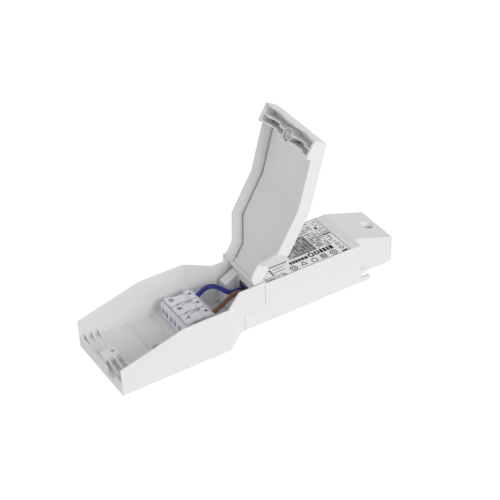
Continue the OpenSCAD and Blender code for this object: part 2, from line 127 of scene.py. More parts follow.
class NodeSheet:
    """A node tree with short ways to add and join nodes."""

    def __init__(self, tree: bpy.types.NodeTree) -> None:
        """Takes a tree and empties it."""
        self.tree = tree
        self.tree.nodes.clear()

    @classmethod
    def of(cls, owner: bpy.types.ID) -> NodeSheet:
        """Returns the emptied node tree of a material or world."""
        owner.use_nodes = True
        return cls(owner.node_tree)

    def add(self, kind: str, **values: Any) -> bpy.types.Node:
        """Adds a node.

        Args:
            kind: the node's type name.
            values: attributes of the node, or numbers for inputs named with underscores for spaces.

        Returns:
            The new node.
        """
        node = self.tree.nodes.new(kind)
        for key, value in values.items():
            socket = node.inputs.get(key.replace("_", " "))
            if socket is not None:
                socket.default_value = value
            else:
                setattr(node, key, value)
        return node

    def join(self, source: bpy.types.NodeSocket, target: bpy.types.NodeSocket) -> None:
        """Links an output to an input."""
        self.tree.links.new(source, target)

    def feed(self, node: bpy.types.Node, *sources: bpy.types.NodeSocket) -> bpy.types.NodeSocket:
        """Links outputs to a node's first inputs.

        Args:
            node: the node to feed.
            sources: one output for each input in order.

        Returns:
            The node's first output.
        """
        for source, target in zip(sources, node.inputs):
            self.join(source, target)
        return node.outputs[0]


@dataclass(frozen=True)
class Finish:
    """A surface finish with cloudy colour, uneven gloss, a fine moulded grain and, where set, painted shade
    in narrow creases and gaps.
    """

    name: str
    colour: Colour
    shade: float = 0.97
    roughness: float = 0.42
    spread: float = 0.06
    grain: float = 2600.0
    depth: float = 0.05
    cloud: float = 55.0
    metallic: float = 0.0
    coat: float = 0.0
    # darkest share of painted shade in narrow creases and gaps, and how far it looks for them, m
    crease_shade: float = 0.0
    crease_shade_reach: float = 0.0012
    stretch: Place = (1.0, 1.0, 1.0)

    def material(self) -> bpy.types.Material:
        """Returns the material, made once and then kept."""
        kept = bpy.data.materials.get(self.name)
        return kept if kept else self.build()

    def paint_crease_shade(self, sheet: NodeSheet, colour: bpy.types.NodeSocket) -> bpy.types.NodeSocket:
        """Paints shade into a colour in narrow folds and gaps, darkest where they are least open.

        Args:
            sheet: the node tree of this finish.
            colour: the colour output to darken.

        Returns:
            The colour output with painted crease shade, or the same one for a finish without creases.
        """
        if not self.crease_shade:
            return colour
        # occlusion measures how closed a fold is; the colour is darkened there as painted shade
        fold = sheet.add("ShaderNodeAmbientOcclusion", samples=FOLD_SHADE_RAYS, Distance=self.crease_shade_reach)
        depth = sheet.add("ShaderNodeMapRange", From_Min=FOLD_SHADE_RANGE[0], From_Max=FOLD_SHADE_RANGE[1],
                          To_Min=1.0 - self.crease_shade, To_Max=1.0)
        sheet.join(fold.outputs["AO"], depth.inputs["Value"])
        shaded_in_folds = sheet.add("ShaderNodeVectorMath", operation="SCALE")
        sheet.join(colour, shaded_in_folds.inputs[0])
        sheet.join(depth.outputs["Result"], shaded_in_folds.inputs["Scale"])
        return shaded_in_folds.outputs["Vector"]

    def build(self) -> bpy.types.Material:
        """Builds the node tree of this finish.

        Returns:
            The new material.
        """
        material = bpy.data.materials.new(self.name)
        sheet = NodeSheet.of(material)
        out = sheet.add("ShaderNodeOutputMaterial")
        skin = sheet.add("ShaderNodeBsdfPrincipled", Metallic=self.metallic, Coat_Weight=self.coat)
        sheet.join(skin.outputs["BSDF"], out.inputs["Surface"])
        place = sheet.add("ShaderNodeTexCoord")
        mapping = sheet.add("ShaderNodeMapping", Scale=self.stretch)
        sheet.join(place.outputs["Object"], mapping.inputs["Vector"])
        cloud = sheet.add("ShaderNodeTexNoise", Scale=self.cloud, Detail=4.0, Roughness=0.55)
        grain = sheet.add("ShaderNodeTexNoise", Scale=self.grain, Detail=2.0, Roughness=0.5)
        for noise in (cloud, grain):
            sheet.join(mapping.outputs["Vector"], noise.inputs["Vector"])
        ramp = sheet.add("ShaderNodeValToRGB")
        base = linear(self.colour)
        shaded = (base[0] * self.shade, base[1] * self.shade, base[2] * self.shade, 1.0)
        for stop, position, colour in zip(ramp.color_ramp.elements, CLOUD_RANGE, (shaded, base)):
            stop.position = position
            stop.color = colour
        sheet.join(cloud.outputs["Fac"], ramp.inputs["Fac"])
        # the base colour carries the painted crease shade
        sheet.join(self.paint_crease_shade(sheet, ramp.outputs["Color"]), skin.inputs["Base Color"])
        gloss = sheet.add("ShaderNodeMapRange", To_Min=self.roughness - self.spread,
                          To_Max=self.roughness + self.spread)
        sheet.join(grain.outputs["Fac"], gloss.inputs["Value"])
        sheet.join(gloss.outputs["Result"], skin.inputs["Roughness"])
        bump = sheet.add("ShaderNodeBump", Strength=self.depth, Distance=GRAIN_HEIGHT)
        sheet.join(grain.outputs["Fac"], bump.inputs["Height"])
        sheet.join(bump.outputs["Normal"], skin.inputs["Normal"])
        return material


# crease values paint shade into the narrow gaps, grooves and cavities of the mouldings
WHITE_SHELL = Finish("white_shell_moulding", (0.94, 0.94, 0.937), shade=0.985, roughness=0.46,
                     crease_shade=0.5)
WHITE_LID = Finish("white_lid_moulding", (0.94, 0.939, 0.937), shade=0.985, roughness=0.48,
                   crease_shade=0.85, crease_shade_reach=0.0014)
CASE_WHITE = Finish("driver_case_moulding", (0.94, 0.94, 0.939), shade=0.985, roughness=0.44)
LABEL_FILM = Finish("label_film", (0.965, 0.965, 0.958), shade=0.98, roughness=0.3, grain=900.0,
                    depth=0.02)
INK_BLACK = Finish("print_black", (0.045, 0.045, 0.05), shade=0.8, roughness=0.6, grain=5000.0)
INK_GREY = Finish("print_grey", (0.13, 0.13, 0.135), shade=0.85, roughness=0.55, grain=5000.0)
INK_TINT = Finish("print_tint", (0.78, 0.78, 0.78), shade=0.97, roughness=0.5, grain=5000.0)
BLOCK_PALE = Finish("terminal_block_moulding", (0.935, 0.920, 0.965), shade=0.975, roughness=0.34,
                    depth=0.03, crease_shade=0.75)
LEVER_PALE = Finish("lever_moulding", (0.950, 0.938, 0.977), shade=0.975, roughness=0.32, depth=0.03,
                    crease_shade=0.65)
LEVER_INK = Finish("lever_print", (0.05, 0.05, 0.07), shade=0.8, roughness=0.5, grain=5000.0)
BLUE_SHEATH = Finish("blue_insulation", (0.058, 0.137, 0.555), shade=0.8, roughness=0.3, coat=0.25,
                     grain=1500.0)
BROWN_SHEATH = Finish("brown_insulation", (0.55, 0.385, 0.25), shade=0.78, roughness=0.34, coat=0.2,
                      grain=1500.0)
ZINC = Finish("zinc_screw", (0.74, 0.74, 0.72), shade=0.9, roughness=0.34, metallic=1.0,
              stretch=(1, 1, 8))
CLAMP_METAL = Finish("tinned_clamp", (0.80, 0.76, 0.60), shade=0.88, roughness=0.3, metallic=1.0,
                     stretch=(0.2, 1, 1))
TERMINAL_GREY = Finish("inner_terminal_moulding", (0.34, 0.345, 0.35), shade=0.9, roughness=0.5)
BOARD_GREEN = Finish("board_lacquer", (0.10, 0.34, 0.20), shade=0.75, roughness=0.32, coat=0.3,
                     cloud=260.0)
DARK_RESIN = Finish("dark_resin", (0.12, 0.12, 0.125), shade=0.8, roughness=0.5)
BLUE_LACQUER = Finish("blue_lacquer", (0.13, 0.30, 0.60), shade=0.85, roughness=0.28, coat=0.4)
FERRITE = Finish("ferrite", (0.20, 0.195, 0.195), shade=0.75, roughness=0.62, grain=1200.0, depth=0.2)
YELLOW_BOX = Finish("yellow_capacitor_box", (0.78, 0.60, 0.18), shade=0.9, roughness=0.4)
NAVY_SLEEVE = Finish("capacitor_sleeve", (0.10, 0.12, 0.22), shade=0.85, roughness=0.26, coat=0.4)
COIL_TAPE = Finish("coil_tape", (0.82, 0.66, 0.20), shade=0.85, roughness=0.38, coat=0.2,
                   stretch=(1, 1, 6))
FUSE_BROWN = Finish("fuse_shell", (0.28, 0.19, 0.13), shade=0.85, roughness=0.4)


class MeshMaker:
    """Collects flat signs and prisms and turns them into one mesh."""

    def __init__(self) -> None:
        """Starts an empty collection."""
        self.bm = bmesh.new()

    def prism(self, outline: Sequence[Vector], lift: Vector) -> None:
        """Adds a closed prism.

        Args:
            outline: corners of the lower face, anticlockwise seen from the lifted side.
            lift: vector from the lower to the upper face.
        """
        low = [self.bm.verts.new(p) for p in outline]
        top = [self.bm.verts.new(p + lift) for p in outline]
        count = len(low)
        self.bm.faces.new(low[::-1])
        self.bm.faces.new(top)
        for i in range(count):
            j = (i + 1) % count
            self.bm.faces.new((low[i], low[j], top[j], top[i]))

    def band(self, outer: Sequence[Vector], inner: Sequence[Vector], lift: Vector) -> None:
        """Adds a closed frame between two outlines of equal count.

        Args:
            outer: corners of the outer edge, anticlockwise.
            inner: corners of the inner edge in the same order.
            lift: vector from the lower to the upper face.
        """
        rings = [[self.bm.verts.new(p + step) for p in line]
                 for step in (Vector((0, 0, 0)), lift) for line in (outer, inner)]
        low_out, low_in, top_out, top_in = rings
        count = len(low_out)
        for i in range(count):
            j = (i + 1) % count
            self.bm.faces.new((top_out[i], top_out[j], top_in[j], top_in[i]))
            self.bm.faces.new((low_in[i], low_in[j], low_out[j], low_out[i]))
            self.bm.faces.new((low_out[i], low_out[j], top_out[j], top_out[i]))
            self.bm.faces.new((top_in[i], top_in[j], low_in[j], low_in[i]))

    def mesh(self, name: str) -> bpy.types.Mesh:
        """Ends the collection.

        Args:
            name: the mesh's name.

        Returns:
            The collected faces as one mesh.
        """
        data = bpy.data.meshes.new(name)
        bmesh.ops.recalc_face_normals(self.bm, faces=self.bm.faces[:])
        self.bm.to_mesh(data)
        self.bm.free()
        return data


def stand(name: str, data: bpy.types.ID) -> bpy.types.Object:
    """Puts a new object with this data into the scene.

    Args:
        name: the object's name.
        data: its mesh, lamp or camera.

    Returns:
        The new object.
    """
    thing = bpy.data.objects.new(name, data)
    bpy.context.scene.collection.objects.link(thing)
    return thing


def show(name: str, mesh: bpy.types.Mesh, body: Body, finish: Finish) -> bpy.types.Object:
    """Puts a finished mesh into the scene on a body.

    Args:
        name: the piece's name.
        mesh: its mesh, already in place in the part's frame.
        body: the body that it moves with.
        finish: its surface finish.

    Returns:
        The new object.
    """
    mesh.materials.clear()
    mesh.materials.append(finish.material())
    piece = stand(name, mesh)
    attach(piece, body.value)
    LOG.info("piece %s: %d faces", name, len(mesh.polygons))
    return piece


def adopt(node: str, finish: Finish) -> None:
    """Gives a CAD node its finish and leaves its mesh as it is.

    Args:
        node: the CAD node.
        finish: its surface finish.
    """
    data = frame["nodes"][node].data
    data.materials.clear()
    data.materials.append(finish.material())
    LOG.info("node %s: %s", node, finish.name)


def evaluated_mesh(piece: bpy.types.Object, name: str) -> bpy.types.Mesh:
    """Turns an object with modifiers into a plain mesh and removes the object.

    Args:
        piece: the object to evaluate.
        name: the name of the plain mesh.

    Returns:
        The evaluated mesh.
    """
    graph = bpy.context.evaluated_depsgraph_get()
    data = bpy.data.meshes.new_from_object(piece.evaluated_get(graph))
    data.name = name
    piece.modifiers.clear()
    bpy.data.objects.remove(piece)
    return data


class EdgeRounder:
    """Rounds a CAD node's sharp edges and leaves those sharp where the rounding would fold over."""

    # vertices closer than this are one, m
    weld: float = 2e-6
    # faces that meet under this angle lie in one plane
    flat: float = math.radians(0.4)
    # edges over this angle are rounded
    sharp: float = math.radians(38)
    # shading breaks at edges over this angle
    crisp: float = math.radians(15)
    # how much more a large face counts for the shading than a small one
    plane_weight: int = 95
    # strips across a rounded edge
    segments: int = 2
    # rounds of looking for folds
    turns: int = 8
    # a fold lies farther than this from the CAD surface, m, or is turned against it
    stray: float = 0.0003
    turned: float = -0.2
    # triangles under this area are no folds, square metres
    speck: float = 1e-13
    # edges within so many widths of a fold stay sharp
    beside: float = 1.5

    def __init__(self, node: str, radius: float) -> None:
        """Takes a copy of a node's mesh.

        Args:
            node: the CAD node.
            radius: width of the rounding in mm.
        """
        self.node = node
        self.width = radius / PER_METRE
        self.bm = bmesh.new()
        self.bm.from_mesh(frame["nodes"][node].data)
        self.tree = BVHTree.FromBMesh(self.bm)
        bmesh.ops.remove_doubles(self.bm, verts=self.bm.verts[:], dist=self.weld)

    def plane_groups(self) -> List[Set[bmesh.types.BMFace]]:
        """Sorts the faces by plane.

        Returns:
            Groups of joined faces that each lie in one plane.
        """
        groups: List[Set[bmesh.types.BMFace]] = []
        seen: Set[bmesh.types.BMFace] = set()
        for first in self.bm.faces:
            if first in seen:
                continue
            group, todo = {first}, [first]
            while todo:
                for edge in todo.pop().edges:
                    if edge.calc_face_angle(math.pi) < self.flat:
                        fresh = [face for face in edge.link_faces if face not in group]
                        group.update(fresh)
                        todo.extend(fresh)
            seen.update(group)
            groups.append(group)
        return groups

    @staticmethod
    def outlines(group: Set[bmesh.types.BMFace]) -> int:
        """Counts the outlines of a plane.

        Args:
            group: joined faces in one plane.

        Returns:
            How many closed outlines the group has.
        """
        border = {edge for face in group for edge in face.edges
                  if len(group.intersection(edge.link_faces)) == 1}
        count = 0
        while border:
            count += 1
            todo = [border.pop()]
            while todo:
                for vert in todo.pop().verts:
                    joined = [edge for edge in vert.link_edges if edge in border]
                    border.difference_update(joined)
                    todo.extend(joined)
        return count

    def merge_planes(self) -> None:
        """Joins the triangles of each plane that has no hole in it."""
        inner: Set[bmesh.types.BMEdge] = set()
        for group in self.plane_groups():
            if self.outlines(group) == 1:
                inner.update(edge for face in group for edge in face.edges
                             if group.issuperset(edge.link_faces))
        bmesh.ops.dissolve_limit(self.bm, angle_limit=self.flat, verts=self.bm.verts[:],
                                 edges=[edge for edge in self.bm.edges if edge in inner])

    def rounded(self) -> bpy.types.Mesh:
        """Rounds every weighted edge.

        Returns:
            The rounded mesh.
        """
        data = bpy.data.meshes.new(self.node + "_raw")
        self.bm.to_mesh(data)
        raw = stand(self.node + "_raw", data)
        bevel = raw.modifiers.new("mould_edges", "BEVEL")
        bevel.width = self.width
        bevel.segments = self.segments
        bevel.limit_method = "WEIGHT"
        bevel.use_clamp_overlap = False
        bevel.miter_outer = "MITER_ARC"
        return evaluated_mesh(raw, self.node + "_rounded")

    def evened(self, mesh: bpy.types.Mesh) -> bpy.types.Mesh:
        """Evens the shading of planes and keeps a smooth turn along rounded edges.

        Args:
            mesh: the rounded mesh.

        Returns:
            The mesh with its own shading normals.
        """
        mesh.shade_smooth()
        mesh.set_sharp_from_angle(angle=self.crisp)
        piece = stand(self.node + "_even", mesh)
        even = piece.modifiers.new("even_planes", "WEIGHTED_NORMAL")
        even.weight = self.plane_weight
        even.keep_sharp = True
        return evaluated_mesh(piece, self.node + "_moulding")

    def folds(self, mesh: bpy.types.Mesh) -> List[Vector]:
        """Looks for triangles that are turned over or leave the CAD surface.

        Args:
            mesh: the rounded mesh.

        Returns:
            The middle and corners of each such triangle.
        """
        bm = bmesh.new()
        bm.from_mesh(mesh)
        bmesh.ops.triangulate(bm, faces=bm.faces[:])
        points: List[Vector] = []
        for face in bm.faces:
            middle = face.calc_center_median()
            _, normal, _, gap = self.tree.find_nearest(middle)
            astray = gap > self.stray or face.normal.dot(normal) < self.turned
            if astray and face.calc_area() > self.speck:
                points.extend([middle] + [vert.co.copy() for vert in face.verts])
        bm.free()
        return points

    def build(self) -> bpy.types.Mesh:
        """Rounds, looks for folds and sharpens the edges beside them until none is left.

        Returns:
            The rounded mesh.
        """
        self.merge_planes()
        weight = self.bm.edges.layers.float.new("bevel_weight_edge")
        edges = [edge for edge in self.bm.edges if edge.calc_face_angle(0.0) > self.sharp]
        for edge in edges:
            edge[weight] = 1.0
        mesh = self.rounded()
        for _ in range(self.turns):
            points = self.folds(mesh)
            if not points:
                break
            for edge in edges:
                start, end = (vert.co for vert in edge.verts)
                for point in points:
                    share = min(1.0, max(0.0, intersect_point_line(point, start, end)[1]))
                    if (start.lerp(end, share) - point).length < self.beside * self.width:
                        edge[weight] = 0.0
                        break
            mesh = self.rounded()
        count = sum(edge[weight] > 0 for edge in edges)
        LOG.info("%s: %d of %d edges rounded", self.node, count, len(edges))
        self.bm.free()
        return self.evened(mesh)


def soften(node: str, body: Body, finish: Finish, radius: float) -> None:
    """Stands a copy with rounded mould edges in the place of a CAD node.

    Args:
        node: the CAD node.
        body: the body that it moves with.
        finish: its surface finish.
        radius: width of the rounding in mm.
    """
    piece = show(node + "_moulding", EdgeRounder(node, radius).build(), body, finish)
    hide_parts(node)


class GrowthTree(NodeSheet):
    """A geometry node tree with named inputs that makes one mesh."""

    def __init__(self, name: str, inputs: Dict[str, str]) -> None:
        """Starts a tree.

        Args:
            name: the tree's name.
            inputs: kind of each named input after the geometry.
        """
        super().__init__(bpy.data.node_groups.new(name, "GeometryNodeTree"))
        face = self.tree.interface
        face.new_socket("Geometry", in_out="INPUT", socket_type="NodeSocketGeometry")
        self.sockets: Dict[str, str] = {}
        for label, kind in inputs.items():
            socket = face.new_socket(label, in_out="INPUT", socket_type="NodeSocket" + kind)
            self.sockets[label] = socket.identifier
        face.new_socket("Geometry", in_out="OUTPUT", socket_type="NodeSocketGeometry")
        self.source = self.add("NodeGroupInput")
        self.sink = self.add("NodeGroupOutput")

    def given(self, name: str) -> bpy.types.NodeSocket:
        """Returns the group input socket of that name."""
        return self.source.outputs[name]

    def close(self, source: bpy.types.NodeSocket) -> None:
        """Ends the tree in real geometry with its material.

        Args:
            source: the geometry output to end with.
        """
        real = self.add("GeometryNodeRealizeInstances")
        paint = self.add("GeometryNodeSetMaterial")
        self.join(source, real.inputs["Geometry"])
        self.join(real.outputs["Geometry"], paint.inputs["Geometry"])
        self.join(self.given("Finish"), paint.inputs["Material"])
        self.join(paint.outputs["Geometry"], self.sink.inputs["Geometry"])

    def grow(self, name: str, seed_mesh: bpy.types.Mesh, values: Dict[str, Any]) -> bpy.types.Mesh:
        """Runs the tree once.

        Args:
            name: the name of the result.
            seed_mesh: the mesh that goes in.
            values: a value for each named input.

        Returns:
            The plain mesh that comes out.
        """
        carrier = stand(name + "_carrier", seed_mesh)
        modifier = carrier.modifiers.new("growth", "NODES")
        modifier.node_group = self.tree
        for key, value in values.items():
            modifier[self.sockets[key]] = value
        return evaluated_mesh(carrier, name)


@dataclass(frozen=True)
class LeadPlan:
    """One lead: its pole at the block, its place in the driver and the bend between, in mm."""

    node: str
    finish: Finish
    slot: str
    pole: float
    bay_y: float
    bend: Tuple[Place, ...]


NEUTRAL_LEAD = LeadPlan("neutral_lead", BLUE_SHEATH, "lead_blue", 11.25, 0.6,
                        ((59.6, 10.1, 12.9), (61.9, 7.7, 14.4), (63.6, 4.9, 14.5),
                         (65.3, 2.5, 13.6), (67.4, 0.9, 13.0), (69.8, 0.6, 12.9)))
LIVE_LEAD = LeadPlan("live_lead", BROWN_SHEATH, "lead_brown", -3.35, -2.2,
                     ((60.0, -3.3, 11.6), (62.6, -3.0, 12.9), (65.3, -2.6, 13.9),
                      (67.9, -2.3, 14.2), (70.2, -2.2, 13.7)))


@dataclass
class Leads:
    """The two insulated leads between terminal block and driver."""

    radius: float = 1.1
    sides: int = 28
    steps: int = 10
    out: Point = (0.8821, 0.4711)
    block_exit: Point = (56.0, 9.75)
    block_steps: Place = (-1.7, -0.6, 0.8)
    bay: float = 73.6
    bay_steps: Place = (-1.3, -0.5, 2.5)
    entry: float = 13.1
    tree: GrowthTree = field(init=False)

    def __post_init__(self) -> None:
        """Builds the tree that sweeps a round sheath along a route."""
        tree = GrowthTree("swept_sheath", {"Radius": "Float", "Sides": "Int", "Finish": "Material"})
        route = tree.add("GeometryNodeMeshToCurve")
        ring = tree.add("GeometryNodeCurvePrimitiveCircle", mode="RADIUS")
        sweep = tree.add("GeometryNodeCurveToMesh")
        smooth = tree.add("GeometryNodeSetShadeSmooth")
        tree.join(tree.given("Geometry"), route.inputs["Mesh"])
        tree.join(tree.given("Sides"), ring.inputs["Resolution"])
        tree.join(tree.given("Radius"), ring.inputs["Radius"])
        tree.join(route.outputs["Curve"], sweep.inputs["Curve"])
        tree.join(ring.outputs["Curve"], sweep.inputs["Profile Curve"])
        sweep.inputs["Fill Caps"].default_value = True
        tree.join(sweep.outputs["Mesh"], smooth.inputs["Geometry"])
        tree.close(smooth.outputs["Geometry"])
        self.tree = tree

    def control(self, plan: LeadPlan) -> List[Vector]:
        """Lays out one lead.

        Args:
            plan: the lead.

        Returns:
            Control points in mm: straight in the block, the bend, straight in the driver.
        """
        x, z = self.block_exit
        first = [Vector((x + d * self.out[0], plan.pole, z + d * self.out[1])) for d in self.block_steps]
        last = [Vector((self.bay + d, plan.bay_y, self.entry)) for d in self.bay_steps]
        return first + [Vector(point) for point in plan.bend] + last

    def route(self, points: Sequence[Vector]) -> List[Vector]:
        """Smooths control points.

        Args:
            points: control points in mm from the cable entry.

        Returns:
            Points on one smooth curve through them.
        """
        line: List[Vector] = []
        count = len(points)
        for i in range(count - 1):
            a, b = points[max(i - 1, 0)], points[i]
            c, d = points[i + 1], points[min(i + 2, count - 1)]
            for k in range(self.steps):
                t = k / self.steps
                line.append(0.5 * (2 * b + (c - a) * t + (2 * a - 5 * b + 4 * c - d) * t * t
                                   + (3 * b - a - 3 * c + d) * t ** 3))
        line.append(points[-1])
        return line

    def lead(self, plan: LeadPlan) -> None:
        """Sweeps one lead and stands it in the place of its CAD node.

        Args:
            plan: the lead.
        """
        path = [at(*p) for p in self.route(self.control(plan))]
        seed = bpy.data.meshes.new(plan.node + "_route")
        seed.from_pydata(path, [(i, i + 1) for i in range(len(path) - 1)], [])
        values = {"Radius": self.radius / PER_METRE, "Sides": self.sides, "Finish": plan.finish.material()}
        mesh = self.tree.grow(plan.node + "_sheath", seed, values)
        piece = show(plan.node + "_sheath", mesh, Body.BASE, plan.finish)
        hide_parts(plan.node)

    def build(self) -> None:
        """Makes both leads."""
        for plan in (NEUTRAL_LEAD, LIVE_LEAD):
            self.lead(plan)


@dataclass
class TerminalBox:
    """The moulded tray, its hinged lid and the captive lid screw."""

    edge: float = 0.22
    ribs: int = 3
    rib_first: float = 2.36
    rib_pitch: float = 3.2
    rib_thick: float = 0.88
    rib_span: Point = (-18.9, -2.4)
    rib_foot: float = 2.9
    rib_low: float = 5.2
    rib_high: float = 6.65
    steps: int = 18

    def crests(self) -> None:
        """Raises the clamp ribs of the open cable entry to a shallow saddle."""
        tree = GrowthTree("rib_row", {"Pitch": "Vector", "Finish": "Material"})
        line = tree.add("GeometryNodeMeshLine", mode="OFFSET")
        line.inputs["Count"].default_value = self.ribs
        spread = tree.add("GeometryNodeInstanceOnPoints")
        tree.join(tree.given("Pitch"), line.inputs["Offset"])
        tree.join(line.outputs["Mesh"], spread.inputs["Points"])
        tree.join(tree.given("Geometry"), spread.inputs["Instance"])
        tree.close(spread.outputs["Instances"])
        near, far = self.rib_span
        saddle = []
        for step in range(self.steps + 1):
            share = 2.0 * step / self.steps - 1.0
            height = self.rib_low + (self.rib_high - self.rib_low) * share * share
            saddle.append(at(self.rib_first, near + (far - near) * step / self.steps, height))
        foot = [at(self.rib_first, far, self.rib_foot), at(self.rib_first, near, self.rib_foot)]
        maker = MeshMaker()
        maker.prism(foot + saddle, Vector((self.rib_thick / PER_METRE, 0, 0)))
        values = {"Pitch": (self.rib_pitch / PER_METRE, 0.0, 0.0), "Finish": WHITE_SHELL.material()}
        mesh = tree.grow("cable_rib_crests", maker.mesh("cable_rib"), values)
        show("cable_rib_crests", mesh, Body.BASE, WHITE_SHELL)

    def build(self) -> None:
        """Rounds the mouldings and dresses the screw."""
        soften("box_tray", Body.BASE, WHITE_SHELL, self.edge)
        self.crests()
        soften("box_lid", Body.LID, WHITE_LID, self.edge)
        adopt("lid_screw", ZINC)


# bars of each lever sign as x0, x1, y0, y1 from the middle of the sign, mm
SIGN_BARS: Dict[Mark, Tuple[Box, ...]] = {
    Mark.PAIR: ((-1.15, 1.15, -0.91, -0.33), (-1.15, 1.15, 0.33, 0.91)),
    Mark.EARTH: ((-0.35, 0.06, -1.25, 1.25), (0.39, 0.80, -0.85, 0.85), (1.13, 1.54, -0.45, 0.45),
                 (-1.2, -0.35, -0.22, 0.22)),
    Mark.CORNER: ((-1.15, 1.15, -0.85, -0.3), (0.4, 1.15, 0.2, 0.95)),
}


@dataclass
class LeverBlock:
    """The terminal block with its release levers and their printed signs."""

    block_edge: float = 0.14
    lever_edge: float = 0.16
    poles: Place = (11.25, 3.95, -3.35)
    plate_front: Point = (40.25, 12.5)
    plate_slope: float = -0.0985
    head_from: float = 50.1
    head_front: Point = (50.3, 12.3)
    head_slope: float = -0.074
    sign_x: float = 42.6
    sign_shift: float = 0.6
    arrow_tip: float = 50.6
    arrow_back: float = 52.55
    arrow_notch: float = 0.3
    arrow_half: float = 0.9
    arrow_shift: float = 0.2
    ink: float = 0.03

    def top(self, x: float) -> float:
        """Finds a lever's top face.

        Args:
            x: place along the part in mm.

        Returns:
            The height of the face in mm.
        """
        front, slope = self.plate_front, self.plate_slope
        if x >= self.head_from:
            front, slope = self.head_front, self.head_slope
        return front[1] + (x - front[0]) * slope

    def patch(self, maker: MeshMaker, outline: Sequence[Point]) -> None:
        """Adds a printed patch with this outline on a lever's top."""
        maker.prism([at(x, y, self.top(x)) for x, y in outline], Vector((0, 0, self.ink / PER_METRE)))

    def sign(self, maker: MeshMaker, mark: Mark, y: float) -> None:
        """Adds the pole's sign near the front of its lever."""
        for bar in SIGN_BARS[mark]:
            self.patch(maker, [(self.sign_x + dx, y + dy) for dx, dy in corners(bar)])

    def arrow(self, maker: MeshMaker, y: float) -> None:
        """Adds the press arrow on the head of a lever."""
        back = self.arrow_back
        self.patch(maker, [(self.arrow_tip, y), (back, y - self.arrow_half), (back - self.arrow_notch, y),
                           (back, y + self.arrow_half)])

    def build(self) -> None:
        """Rounds the block and levers and prints their signs."""
        soften("terminal_housing", Body.BASE, BLOCK_PALE, self.block_edge)
        adopt("pole_clamps", CLAMP_METAL)
        bodies = (Body.LEVER_NEUTRAL, Body.LEVER_EARTH, Body.LEVER_LIVE)
        marks = (Mark.PAIR, Mark.EARTH, Mark.CORNER)
        for name, body, mark, y in zip(("neutral", "earth", "live"), bodies, marks, self.poles):
            soften("release_lever_" + name, body, LEVER_PALE, self.lever_edge)
            maker = MeshMaker()
            self.sign(maker, mark, y + self.sign_shift)
            self.arrow(maker, y + self.arrow_shift)
            label = "lever_print_" + name
            show(label, maker.mesh(label), body, LEVER_INK)


@dataclass(frozen=True)
class DashField:
    """A field of printed dashes.

    Its box is x0, x1, y0, y1 in mm, pitch and dash are along and across the rows in mm,
    and cover is the share of the places that carry a dash.
    """

    name: str
    box: Box
    pitch: Point
    dash: Point
    cover: float
    seed: int
    ink: Finish = INK_GREY


@dataclass(frozen=True)
class Sign:
    """A regular outline such as a ring or square, in mm and degrees."""

    middle: Point
    radius: float
    line: float
    sides: int = 28
    turn: float = 0.0

    def points(self) -> List[Point]:
        """Lays out the sign.

        Returns:
            The corners in mm, anticlockwise.
        """
        start = math.radians(self.turn)
        x, y = self.middle
        angles = [start + math.tau * k / self.sides for k in range(self.sides)]
        return [(x + self.radius * math.cos(angle), y + self.radius * math.sin(angle)) for angle in angles]


DASH_FIELDS: Tuple[DashField, ...] = (
    DashField("label_table", (96.8, 110.7, -2.8, 8.9), (1.81, 1.0), (1.3, 0.84), 0.92, 3),
    DashField("label_notes", (111.6, 118.6, -3.4, 9.2), (1.05, 1.1), (0.95, 0.76), 0.86, 7),
    DashField("label_side", (119.4, 122.8, 7.6, 15.8), (1.15, 1.0), (0.8, 0.6), 0.66, 11),
    DashField("label_edge", (79.4, 89.6, -11.25, -9.55), (0.85, 0.95), (0.8, 0.62), 0.94, 13, INK_BLACK),
    DashField("label_column", (119.3, 122.8, -3.0, 3.4), (1.1, 1.15), (0.86, 0.72), 0.7, 23),
    DashField("label_head", (96.4, 117.4, 10.2, 16.4), (0.95, 1.15), (0.8, 0.7), 0.8, 17),
    DashField("label_rear", (80.6, 94.4, 6.4, 16.2), (1.05, 1.4), (0.86, 0.7), 0.7, 19),
)
FINE_SIGNS: Tuple[Sign, ...] = (
    Sign((94.4, -9.4), 1.85, 0.45), Sign((94.4, -9.4), 0.95, 0.4), Sign((100.0, -9.0), 1.95, 0.42, 3, 90.0),
    Sign((110.6, -9.2), 2.1, 0.45, 4, 45.0), Sign((110.6, -9.2), 1.1, 0.42, 4, 45.0),
    Sign((115.9, -9.3), 1.85, 0.45), Sign((115.9, -9.3), 0.95, 0.4, 6),
    Sign((121.0, -4.9), 1.25, 0.36, 4, 45.0), Sign((121.0, -8.1), 1.4, 0.4, 4, 0.0),
)
HEAVY_SIGNS: Tuple[Sign, ...] = (Sign((106.2, -5.3), 1.55, 0.75), Sign((109.3, -5.3), 1.8, 0.75, 4, 45.0))
# lines beside the table as x0, x1, y0, y1, mm
FINE_BARS: Tuple[Box, ...] = (
    (85.5, 91.6, -5.6, -5.3), (85.0, 91.0, -7.65, -7.35), (84.6, 94.2, -3.6, -3.05),
)
# heavy bars along the near edge and at the output side, mm
HEAVY_BARS: Tuple[Box, ...] = (
    (94.5, 95.7, -6.6, -4.7), (96.0, 97.2, -6.6, -4.7), (97.5, 98.8, -6.6, -4.7),
    (99.1, 100.4, -6.6, -4.7), (100.7, 102.2, -6.6, -4.7), (102.5, 104.1, -6.6, -4.7),
    (111.0, 112.4, -6.7, -3.9), (112.8, 114.2, -6.7, -3.9), (114.6, 115.7, -6.7, -3.9),
    (116.1, 117.9, -6.7, -3.9), (119.7, 122.5, -11.3, -10.3), (119.0, 123.0, 4.0, 4.9),
    (118.6, 119.6, 9.9, 11.4), (83.5, 84.6, -8.9, -7.9), (83.5, 84.6, -7.4, -6.4),
    (83.5, 84.6, -5.9, -4.9),
)


